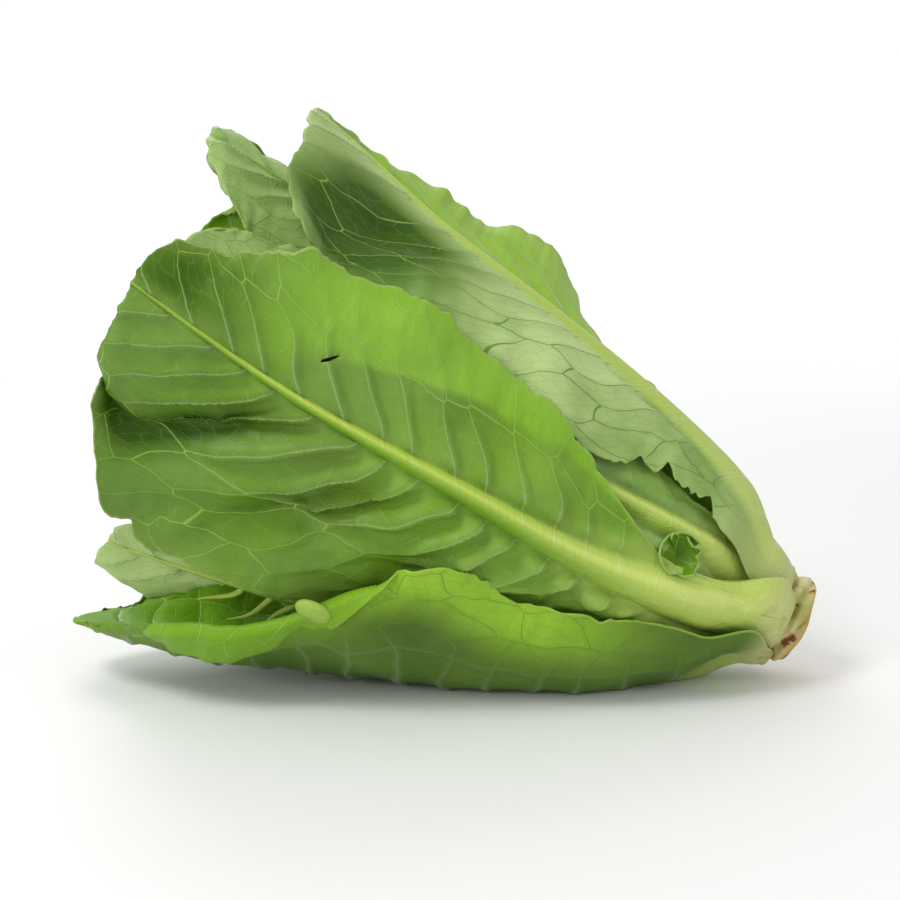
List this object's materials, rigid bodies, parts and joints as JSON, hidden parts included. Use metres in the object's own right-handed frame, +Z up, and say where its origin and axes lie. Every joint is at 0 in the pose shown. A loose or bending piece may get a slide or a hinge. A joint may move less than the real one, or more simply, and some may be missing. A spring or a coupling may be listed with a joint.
{
  "type": "romaine lettuce head",
  "caption": "Head of romaine lettuce lying on its side: long ribbed leaves overlap round a short cut stem, open at the tips, with a torn lower leaf.",
  "frame": {"origin": "centre of the head's bounding box in plan, on the surface that it lies on", "axes": "+X runs along the head from the leaf tips towards the cut stem, +Z is up, and -Y faces the side with the large ribbed front leaf"},
  "size_m": [0.2938, 0.1443, 0.2253],
  "materials": {
    "outer_leaf": "soft waxy sheen, mid green leaf with pale rib and veins",
    "inner_leaf": "soft waxy sheen, lighter green leaf with pale rib",
    "heart_leaf": "soft sheen, yellow green leaf",
    "cut_stem": "matt, cream with a browned cut face"
  },
  "bodies": {
    "root": {"stem": "cut_stem", "heart_leaf_1": "heart_leaf", "heart_leaf_2": "heart_leaf", "heart_leaf_3": "heart_leaf", "heart_leaf_4": "heart_leaf", "inner_leaf_back": "inner_leaf", "inner_leaf_low": "inner_leaf", "inner_leaf_front": "inner_leaf", "inner_leaf_top": "inner_leaf", "torn_leaf": "inner_leaf", "second_leaf_back": "inner_leaf", "second_leaf_front": "inner_leaf", "back_leaf": "outer_leaf", "top_leaf": "outer_leaf", "front_leaf": "outer_leaf", "bottom_leaf": "outer_leaf"}
  },
  "joints": []
}
